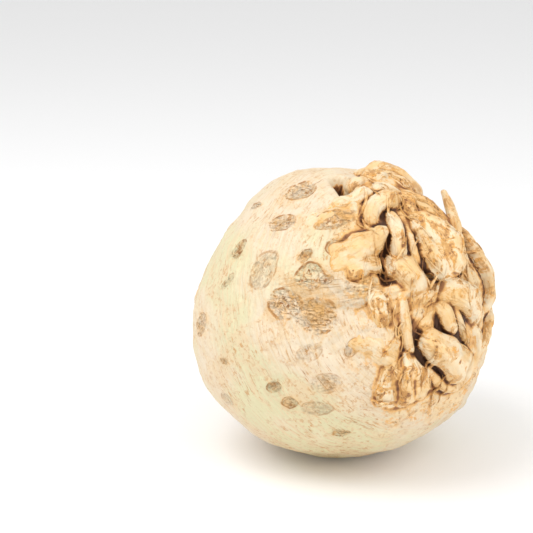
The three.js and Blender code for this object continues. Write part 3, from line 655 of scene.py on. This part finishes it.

# The marks that the skin's colours follow. Smooth skin gets less soil and painted shade in its hollows than
# the root end's rough zone does.
SMOOTH_SKIN_LESS_SOIL_AND_SHADE = 0.35
skin_x, skin_y = map_place(skin_ways)
scar_gap, scar_mark, scar_core, scar_place = scar_at(skin_ways)
skin_reach, skin_bearing = np.hypot(skin_x, skin_y), np.arctan2(skin_x, skin_y)
from_bud, ring_groove = crown_rings(skin_ways)
swollen_body = new_piece("swollen_body", skin_points, grid_faces(len(reach), SIDES), {
    "hollow": hollow_at(skin_points) - SMOOTH_SKIN_LESS_SOIL_AND_SHADE * (1 - zone_at(skin_points)),
    "zone": zone_at(skin_points),
    "scar_gap": scar_gap,
    "scar_mark": scar_mark,
    "scar_core": scar_core,
    "scar_place": scar_place,
    "hoop": np.stack([skin_reach, np.cos(skin_bearing) * 100, np.sin(skin_bearing) * 100], 1),
    "ray": np.stack([np.cos(skin_bearing) * 100, np.sin(skin_bearing) * 100, skin_reach], 1),
    "crown": from_bud,
    "groove": ring_groove,
    "around": np.maximum(0.15 * ease(skin_reach, 60, 26), fold_share(skin_ways)),
})


class Paint:
    """A material's node tree, with one short call for each kind of node."""

    def __init__(self, name, roughness):
        self.material = bpy.data.materials.new(name)
        self.material.use_nodes = True
        self.tree = self.material.node_tree
        self.shader = self.tree.nodes["Principled BSDF"]
        self.shader.inputs["Roughness"].default_value = roughness

    def feed(self, socket, value):
        """Give a socket another node's output, a colour or a number."""
        if isinstance(value, bpy.types.NodeSocket):
            self.tree.links.new(value, socket)
        elif isinstance(value, tuple):
            socket.default_value = (*value, 1)
        else:
            socket.default_value = value

    def mark(self, name, output="Fac"):
        """A mark kept on the mesh."""
        node = self.tree.nodes.new("ShaderNodeAttribute")
        node.attribute_name = name
        return node.outputs[output]

    def place(self):
        """The place on the piece, in metres."""
        return self.tree.nodes.new("ShaderNodeTexCoord").outputs["Object"]

    def noise(self, vector, scale, detail=4, roughness=0.55, warp=0.0):
        """Layered noise, near 0.5 on average."""
        node = self.tree.nodes.new("ShaderNodeTexNoise")
        self.feed(node.inputs["Vector"], vector)
        for key, value in (("Scale", scale), ("Detail", detail), ("Roughness", roughness),
                           ("Distortion", warp)):
            node.inputs[key].default_value = value
        return node.outputs["Fac"]

    def maths(self, operation, a, b=0.0, c=0.0):
        """One sum on two or three numbers."""
        node = self.tree.nodes.new("ShaderNodeMath")
        node.operation = operation
        for socket, value in zip(node.inputs, (a, b, c)):
            self.feed(socket, value)
        return node.outputs[0]

    def ramp(self, value, low, high):
        """A smooth rise from 0 at low to 1 at high, which may be the lower of the two."""
        node = self.tree.nodes.new("ShaderNodeMapRange")
        node.interpolation_type = "SMOOTHSTEP"
        self.feed(node.inputs["Value"], value)
        node.inputs["From Min"].default_value = low
        node.inputs["From Max"].default_value = high
        return node.outputs["Result"]

    def mix(self, share, a, b):
        """The first colour with that share of the second. A mix node's colours are its seventh and
        eighth sockets, and its third output."""
        node = self.tree.nodes.new("ShaderNodeMix")
        node.data_type = "RGBA"
        for socket, value in zip((node.inputs[0], *node.inputs[6:8]), (share, a, b)):
            self.feed(socket, value)
        return node.outputs[2]

    def times(self, *shares):
        """The product of several shares."""
        total = shares[0]
        for share in shares[1:]:
            total = self.maths("MULTIPLY", total, share)
        return total

    def over(self, colour, tint, *shares):
        """A colour with a tint laid over it, by the product of the shares."""
        return self.mix(self.times(*shares), colour, tint)

    def scaled(self, vector, scale):
        """A place stretched by a factor along each axis."""
        node = self.tree.nodes.new("ShaderNodeMapping")
        self.feed(node.inputs["Vector"], vector)
        node.inputs["Scale"].default_value = scale
        return node.outputs["Vector"]

    def bump(self, height, distance, strength):
        """Relief that is too fine for the mesh, up to that distance in metres."""
        node = self.tree.nodes.new("ShaderNodeBump")
        self.feed(node.inputs["Height"], height)
        node.inputs["Distance"].default_value = distance
        node.inputs["Strength"].default_value = strength
        self.feed(self.shader.inputs["Normal"], node.outputs["Normal"])


PALE = (0.84, 0.70, 0.51)
CREAM = (0.81, 0.62, 0.38)
GREENISH = (0.75, 0.70, 0.42)
TAN = (0.60, 0.29, 0.085)
ORANGE = (0.86, 0.49, 0.16)
BROWN = (0.27, 0.10, 0.03)
DARK = (0.075, 0.026, 0.008)
SCAR_TAN = (0.80, 0.47, 0.20)
SCAR_BROWN = (0.40, 0.165, 0.045)
AMBER = (0.84, 0.40, 0.07)
ROOT_FLESH = (0.92, 0.68, 0.38)
MATT, SKIN_BUMP, ROOT_BUMP, BUMP_SHARE = 0.5, 0.0007, 0.0008, 0.9


def soil_and_shade(paint, colour, hollow, soil):
    """Amber, brown, then nearly black where a place lies deep under the skin round it: soil in the
    crevices, and painted shade that darkens them the deeper they lie.
    """
    low = paint.maths("ADD", hollow, paint.maths("MULTIPLY_ADD", soil, 1.5, -0.75))
    # Soil and painted shade together: each step darker the deeper the crevice.
    colour = paint.over(colour, ORANGE, paint.ramp(low, 0.08, 0.42), 0.8)
    colour = paint.over(colour, TAN, paint.ramp(low, 0.40, 0.68), 0.85)
    colour = paint.over(colour, BROWN, paint.ramp(low, 0.60, 0.92), 0.9)
    return paint.over(colour, DARK, paint.ramp(low, 0.98, 1.4))


# Pale cream flesh under a thin skin, greenish in places, with tan flecks and lines that run round the root
# end, and browner in its folds and hollows, with soil there and painted shade.
skin = Paint("celeriac_skin", MATT)
spot = skin.place()
hoop, ray = skin.mark("hoop", "Vector"), skin.mark("ray", "Vector")
zone, hollow = skin.mark("zone"), skin.mark("hollow")
gap, mark, core = skin.mark("scar_gap"), skin.mark("scar_mark"), skin.mark("scar_core")
soil = skin.noise(spot, 160, 6, 0.7, 0.8)
colour = skin.over(PALE, GREENISH, skin.ramp(skin.noise(spot, 24, 3), 0.46, 0.62), 0.8)
blotch = skin.noise(spot, 60, 8, 0.7, 1.2)
colour = skin.over(colour, CREAM, skin.ramp(blotch, 0.47, 0.62), 0.75)
lines = skin.noise(skin.scaled(hoop, (0.8, 0.04, 0.04)), 1.0, 6, 0.7, 0.5)
colour = skin.over(colour, CREAM, skin.ramp(lines, 0.49, 0.60), 0.75)
colour = skin.over(colour, TAN, skin.ramp(lines, 0.58, 0.68), skin.ramp(blotch, 0.46, 0.60), 0.5)
long_lines = skin.noise(skin.scaled(hoop, (1.1, 0.05, 0.05)), 1.0, 4, 0.6, 1.4)
stretches = skin.ramp(skin.noise(spot, 42, 5, 0.7), 0.50, 0.60)
colour = skin.over(colour, TAN, skin.ramp(long_lines, 0.57, 0.63), stretches, 0.65)
colour = skin.over(colour, BROWN, skin.ramp(long_lines, 0.64, 0.68), stretches, 0.6)
flecks = skin.noise(skin.scaled(hoop, (0.75, 0.18, 0.18)), 1.0, 4, 0.6)
patches = skin.ramp(skin.noise(spot, 38, 5, 0.7), 0.44, 0.60)
colour = skin.over(colour, TAN, skin.ramp(flecks, 0.565, 0.65), patches, 0.8)
fine = skin.noise(spot, 620, 4, 0.65)
colour = skin.over(colour, TAN, skin.ramp(fine, 0.53, 0.62), skin.ramp(blotch, 0.42, 0.58), 0.5)
rays = skin.noise(skin.scaled(ray, (0.32, 0.32, 0.05)), 1.0, 5, 0.65, 1.6)
around = skin.maths("MULTIPLY", skin.mark("around"), skin.ramp(gap, 0.95, 1.2))
colour = skin.over(colour, ORANGE, skin.ramp(rays, 0.50, 0.57), around, 0.2)
colour = skin.over(colour, TAN, skin.ramp(rays, 0.57, 0.61), around, 0.45)
colour = skin.over(colour, BROWN, skin.ramp(rays, 0.61, 0.65), around, 0.8)

# Scars: pale patches mottled with tan, with dark slits that wander along them, darker flecks in the
# middle, and a rim that is dark only in places.
ragged = skin.maths("MULTIPLY_ADD", skin.noise(spot, 210, 4, 0.6), 0.5, gap)
inside = skin.times(skin.ramp(ragged, 1.36, 1.06), mark)
patchy, flecked = skin.noise(spot, 260, 5, 0.7), skin.noise(spot, 560, 5, 0.75)
middle = skin.maths("MULTIPLY", skin.ramp(gap, 0.8, 0.15), core)
colour = skin.over(colour, SCAR_TAN, inside, skin.maths("MULTIPLY_ADD", middle, 0.4, 0.05))
colour = skin.over(colour, ORANGE, inside, skin.ramp(patchy, 0.50, 0.60), 0.5)
colour = skin.over(colour, TAN, inside, skin.ramp(flecked, 0.53, 0.58), 0.75)
cracks = skin.noise(skin.scaled(skin.mark("scar_place", "Vector"), (0.22, 0.75, 1.0)), 1.0, 4, 0.6, 1.6)
thin = skin.ramp(skin.maths("ABSOLUTE", skin.maths("SUBTRACT", cracks, 0.5)), 0.022, 0.007)
dark_fleck = skin.ramp(skin.maths("MULTIPLY_ADD", middle, 0.09, flecked), 0.59, 0.62)
colour = skin.over(colour, SCAR_BROWN, inside, dark_fleck)
colour = skin.over(colour, SCAR_BROWN, inside, thin, skin.maths("MULTIPLY_ADD", middle, 0.5, 0.3))
broken = skin.noise(spot, 190, 5, 0.7)
rim = skin.times(skin.ramp(gap, 1.12, 1.04), skin.ramp(gap, 0.90, 0.98), mark)
colour = skin.over(colour, TAN, rim, skin.ramp(broken, 0.45, 0.50), 0.8)
colour = skin.over(colour, SCAR_BROWN, rim, skin.ramp(broken, 0.50, 0.54), 0.95)
ring = skin.times(skin.ramp(gap, 0.70, 0.64), skin.ramp(gap, 0.56, 0.61), mark)
colour = skin.over(colour, SCAR_BROWN, ring, skin.ramp(broken, 0.52, 0.48), 0.45)
colour = skin.over(colour, ORANGE, skin.ramp(gap, 1.8, 1.0), mark, skin.ramp(blotch, 0.46, 0.58), 0.4)
colour = skin.over(colour, ROOT_FLESH, skin.ramp(zone, 0.55, 1.0), 0.7)
colour = skin.over(colour, ORANGE, zone, skin.ramp(soil, 0.48, 0.60), 0.4)
colour = skin.over(colour, TAN, zone, skin.ramp(soil, 0.54, 0.64), 0.7)
sparks = skin.ramp(skin.noise(spot, 330, 4, 0.7), 0.56, 0.61)
colour = skin.over(colour, AMBER, zone, sparks, 0.8)
colour = skin.over(colour, BROWN, zone, skin.ramp(fine, 0.53, 0.62), skin.ramp(soil, 0.46, 0.6), 0.8)

# The crown: a corky tan patch, ringed with leaf scars, round a small pale bud.
crown, groove = skin.mark("crown"), skin.mark("groove")
colour = skin.over(colour, ORANGE, skin.ramp(crown, 20, 10), skin.ramp(blotch, 0.36, 0.56), 0.7)
colour = skin.over(colour, TAN, skin.ramp(crown, 15, 8), skin.ramp(flecked, 0.44, 0.56), 0.85)
colour = skin.over(colour, BROWN, skin.ramp(crown, 14, 9), skin.ramp(patchy, 0.50, 0.60), 0.8)
colour = skin.over(colour, BROWN, skin.ramp(groove, 0.2, 0.8))
colour = skin.over(colour, CREAM, skin.ramp(crown, 4.2, 3.2), 0.8)
colour = skin.over(colour, BROWN, skin.ramp(crown, 1.8, 0.9))
# Soil and painted shade: browner and darker the deeper a place lies under the skin round it.
colour = soil_and_shade(skin, colour, hollow, soil)
skin.feed(skin.shader.inputs["Base Color"], colour)
relief = skin.maths("ADD", skin.noise(spot, 480, 5, 0.6), skin.maths("MULTIPLY", lines, 1.2))
relief = skin.maths("SUBTRACT", relief, skin.times(around, rays, 1.5))
relief = skin.maths("SUBTRACT", relief, skin.times(inside, thin, 0.9))
skin.bump(relief, SKIN_BUMP, BUMP_SHARE)
swollen_body.data.materials.append(skin.material)

# The trimmed roots: stubs and strands of pale flesh that grow from the root end and lie on it, cut
# short with a knife when the celeriac was lifted. A few loose strands stand off the body. They
# keep the skins set out above, as three groups from the top of the root end to its foot.
GROUPS = {"upper_roots": slice(0, 11), "middle_roots": slice(11, 22), "lower_roots": slice(22, None)}
root_pieces = []
for label, group in GROUPS.items():
    points = np.vstack(root_points[group])
    count = len(root_points[0])
    faces = sum((grid_faces(STATIONS, ROOT_SIDES, k * count) for k in range(len(root_points[group]))), [])
    root_pieces.append(new_piece(label, points, faces, {
        "hollow": hollow_at(points),
        "zone": zone_at(points),
        "flow": np.vstack(root_flow[group]),
        "brown": np.concatenate(root_brown[group]),
    }))

# Their skin runs from pale to honey, with soil and brown streaks that follow the root, and soil and painted
# shade where they lie deep between their neighbours.
ROOT_PALE = (0.95, 0.78, 0.53)
HONEY = (0.93, 0.63, 0.30)
flesh = Paint("trimmed_root_skin", MATT)
spot = flesh.place()
flow = flesh.mark("flow", "Vector")
brown, hollow = flesh.mark("brown"), flesh.mark("hollow")
streak = flesh.noise(flesh.scaled(flow, (1.1, 0.14, 1.0)), 1.0, 6, 0.7, 0.6)
soil = flesh.noise(spot, 170, 6, 0.7, 0.8)
fine = flesh.noise(spot, 640, 5, 0.7)
rough = flesh.ramp(brown, 0.05, 0.85)
colour = flesh.mix(flesh.ramp(flesh.noise(spot, 80, 5, 0.6), 0.40, 0.60), ROOT_PALE, HONEY)
dirt = flesh.maths("ADD", flesh.times(streak, 0.3), flesh.times(soil, 0.7))
dirt = flesh.maths("ADD", dirt, flesh.times(brown, 0.05))
share = flesh.maths("MULTIPLY_ADD", rough, 0.5, 0.5)
colour = flesh.over(colour, ORANGE, flesh.ramp(dirt, 0.50, 0.555), share, 0.95)
colour = flesh.over(colour, TAN, flesh.ramp(dirt, 0.545, 0.59), share, 0.95)
colour = flesh.over(colour, TAN, flesh.ramp(streak, 0.60, 0.66), share, 0.7)
sparks = flesh.ramp(flesh.noise(spot, 330, 4, 0.7), 0.56, 0.61)
colour = flesh.over(colour, AMBER, sparks, flesh.ramp(soil, 0.44, 0.54), 0.8)
specks = flesh.ramp(fine, 0.53, 0.58)
speckled = flesh.maths("MULTIPLY_ADD", rough, 0.85, 0.1)
colour = flesh.over(colour, BROWN, flesh.ramp(dirt, 0.52, 0.57), specks, speckled)
# Soil and painted shade: browner and darker the deeper a place lies under the roots round it.
colour = soil_and_shade(flesh, colour, hollow, soil)
flesh.feed(flesh.shader.inputs["Base Color"], colour)
relief = flesh.maths("ADD", flesh.noise(spot, 420, 5, 0.65), flesh.maths("MULTIPLY", streak, 1.4))
flesh.bump(relief, ROOT_BUMP, BUMP_SHARE)
for piece in root_pieces:
    piece.data.materials.append(flesh.material)

# Fine rootlets: dried threads left on the root end, that lie over the roots and run into the
# crevices. Most are drawn at random places, mostly lengthwise on the map, and follow the skin
# beneath them.
ROOTLETS, ROOTLET_STATIONS, ROOTLET_SIDES = 80, 20, 8
# They lie over an oval of the map: its middle and half sizes. The half width of each is the
# thinnest's or up to the spread more, and its ends dip that far into the skin.
THREADS_X, THREADS_Y, THREADS_WIDE, THREADS_HIGH = 2, 3, 27, 48
THINNEST, THICKNESS_SPREAD, END_DIP = 0.22, 0.45, 0.875


def rootlet_rows(draw):
    """The rows of one rootlet: a bowed line on the map that hugs the height map, thin at both
    ends."""
    way = 2 * math.pi * next(draw)
    out = math.sqrt(next(draw))
    x = THREADS_X + THREADS_WIDE * out * math.sin(way)
    y = THREADS_Y + THREADS_HIGH * out * math.cos(way)
    bearing = math.radians(90 + 80 * (next(draw) - 0.5)) + 0.35 * math.sin(way)
    length, bow = 6 + 12 * next(draw), 5 * (next(draw) - 0.5)
    thick = THINNEST + THICKNESS_SPREAD * next(draw) ** 2
    t = np.linspace(-0.5, 0.5, 7)
    along, aside = t * length, bow * np.cos(math.pi * t)
    xs = x + along * math.cos(bearing) - aside * math.sin(bearing)
    ys = y + along * math.sin(bearing) + aside * math.cos(bearing)
    row, column = cell_of(xs, ys)
    lift = height_fine[row, column] - BALL_RADIUS + 0.25 - END_DIP * (2 * np.abs(t)) ** 5
    size = thick * (1 - 0.7 * (2 * np.abs(t)) ** 3)
    return np.stack([xs, ys, lift, size, size], 1)


# Nine are listed one by one: five in the dark crevice beside the finger, a spike at the foot of the wedge
# and three at the top of the smooth knob. Each has its half width, how far it stands above the skin, a
# brownness, and its places on the map.
FIBRES = [
    (0.7, 0.6, 0.0, [(-14.6, 19), (-15.6, 14.5), (-16.4, 9.5), (-16.6, 4)]),
    (0.5, 0.2, 0.9, [(-17, 17), (-18.2, 12), (-18.6, 7)]),
    (0.45, 0.3, 0.6, [(-13, 18), (-13.8, 12), (-14.4, 8), (-15.5, 5)]),
    (0.4, 0.2, 0.9, [(-19, 12), (-16.5, 9), (-14, 7.5)]),
    (0.5, 0.5, 0.5, [(-19.4, 9), (-17.5, 6.4), (-14, 5.4)]),
    (0.6, 0.9, 1.0, [(-21, -39.6), (-24, -38.6), (-29, -38.2)]),
    (0.35, 0.3, 0.3, [(-11, -14.6), (-9, -16.2), (-6.4, -17.6)]),
    (0.3, 0.3, 0.5, [(-11.4, -17.4), (-9.4, -18.4), (-6.8, -19.6)]),
    (0.35, 0.3, 0.2, [(-11, -20.4), (-8.8, -20.6), (-6, -21.8)]),
]

lot = draws(77)
threads = [(rootlet_rows(lot), 1.4 * next(lot) - 0.2) for _ in range(ROOTLETS)]
for size, lift, brown, places in FIBRES:
    line = smooth_path(places, 4)
    row, column = cell_of(line[:, 0], line[:, 1])
    bend = np.abs(np.linspace(-1, 1, len(line)))
    rise = height_fine[row, column] - BALL_RADIUS + lift - 2 * bend**4 * (brown < 0.95)
    width = size * (1 - 0.6 * bend**2)
    threads.append((np.column_stack([line, rise, width, width]), brown))
rootlet_points, rootlet_flow, rootlet_brown = [], [], []
for number, (rows, brown) in enumerate(threads):
    points, flow = root_skin(rows, 2.0, 0.2, 300 + number, ROOTLET_STATIONS, ROOTLET_SIDES)
    rootlet_points.append(points)
    rootlet_flow.append(flow)
    rootlet_brown.append(np.full(len(points), brown))
count = len(rootlet_points[0])
points = np.vstack(rootlet_points)
faces = sum((grid_faces(ROOTLET_STATIONS, ROOTLET_SIDES, k * count) for k in range(len(threads))), [])
fine_rootlets = new_piece("fine_rootlets", points, faces, {
    # Half the soil and painted shade of the roots beneath, on these thin threads.
    "hollow": hollow_at(points) * 0.5,
    "zone": zone_at(points),
    "flow": np.vstack(rootlet_flow),
    "brown": np.concatenate(rootlet_brown),
})
fine_rootlets.data.materials.append(flesh.material)

# The studio: a pale floor, a pale surround and soft lights from the upper left and the front.
AZIMUTH, ELEVATION = math.radians(52), math.radians(18)
LENS, SENSOR, FRAME_PIXELS = 100.0, 36.0, 533
# The ball as it shows in the picture: its diameter and its middle in pixels.
BALL_ACROSS, BALL_X, BALL_Y = 300.0, 342.5, 310.0
SEEN_RADIUS = 59.0
focal = LENS / SENSOR * FRAME_PIXELS
distance = SEEN_RADIUS * focal / (BALL_ACROSS / 2)
back = np.array([math.sin(AZIMUTH) * math.cos(ELEVATION),
                 -math.cos(AZIMUTH) * math.cos(ELEVATION), math.sin(ELEVATION)])
right = np.array([math.cos(AZIMUTH), math.sin(AZIMUTH), 0.0])
up = np.cross(back, right)
pixel = distance / focal
aim = CENTRE - right * (BALL_X - FRAME_PIXELS / 2) * pixel + up * (BALL_Y - FRAME_PIXELS / 2) * pixel
stand = CENTRE + back * distance
camera = bpy.data.objects.new("camera", bpy.data.cameras.new("camera"))
camera.data.lens, camera.data.sensor_width = LENS, SENSOR
camera.location = stand * MM
camera.rotation_euler = Vector(aim - stand).to_track_quat("-Z", "Y").to_euler()
bpy.context.scene.collection.objects.link(camera)
bpy.context.scene.camera = camera

FLOOR_SIZE, PAPER, PAPER_ROUGH, SURROUND = 8, (0.95, 0.95, 0.95, 1), 0.9, 0.8
bpy.ops.mesh.primitive_plane_add(size=FLOOR_SIZE)
floor = bpy.context.object
floor.name = "floor"
paper = bpy.data.materials.new("paper")
paper.use_nodes = True
paper.node_tree.nodes["Principled BSDF"].inputs["Base Color"].default_value = PAPER
paper.node_tree.nodes["Principled BSDF"].inputs["Roughness"].default_value = PAPER_ROUGH
floor.data.materials.append(paper)

world = bpy.data.worlds.new("studio")
bpy.context.scene.world = world
world.use_nodes = True
world.node_tree.nodes["Background"].inputs[0].default_value = (1, 1, 1, 1)
world.node_tree.nodes["Background"].inputs[1].default_value = SURROUND


def soft_light(name, way, distance, size, power):
    """A square light that faces the ball from that way: metres off and across, and watts."""
    lamp = bpy.data.lights.new(name, "AREA")
    lamp.size, lamp.energy = size, power
    light = bpy.data.objects.new(name, lamp)
    middle = Vector(CENTRE * MM)
    light.location = middle + Vector(way).normalized() * distance
    light.rotation_euler = (middle - light.location).to_track_quat("-Z", "Y").to_euler()
    bpy.context.scene.collection.objects.link(light)


soft_light("key", -right * 0.7 + up * 1.0 + back * 0.75, 0.9, 0.6, 4.1)
soft_light("fill", right * 0.8 + up * 0.5 + back * 0.8, 1.0, 0.8, 3.1)
bpy.context.scene.view_settings.view_transform = "Standard"
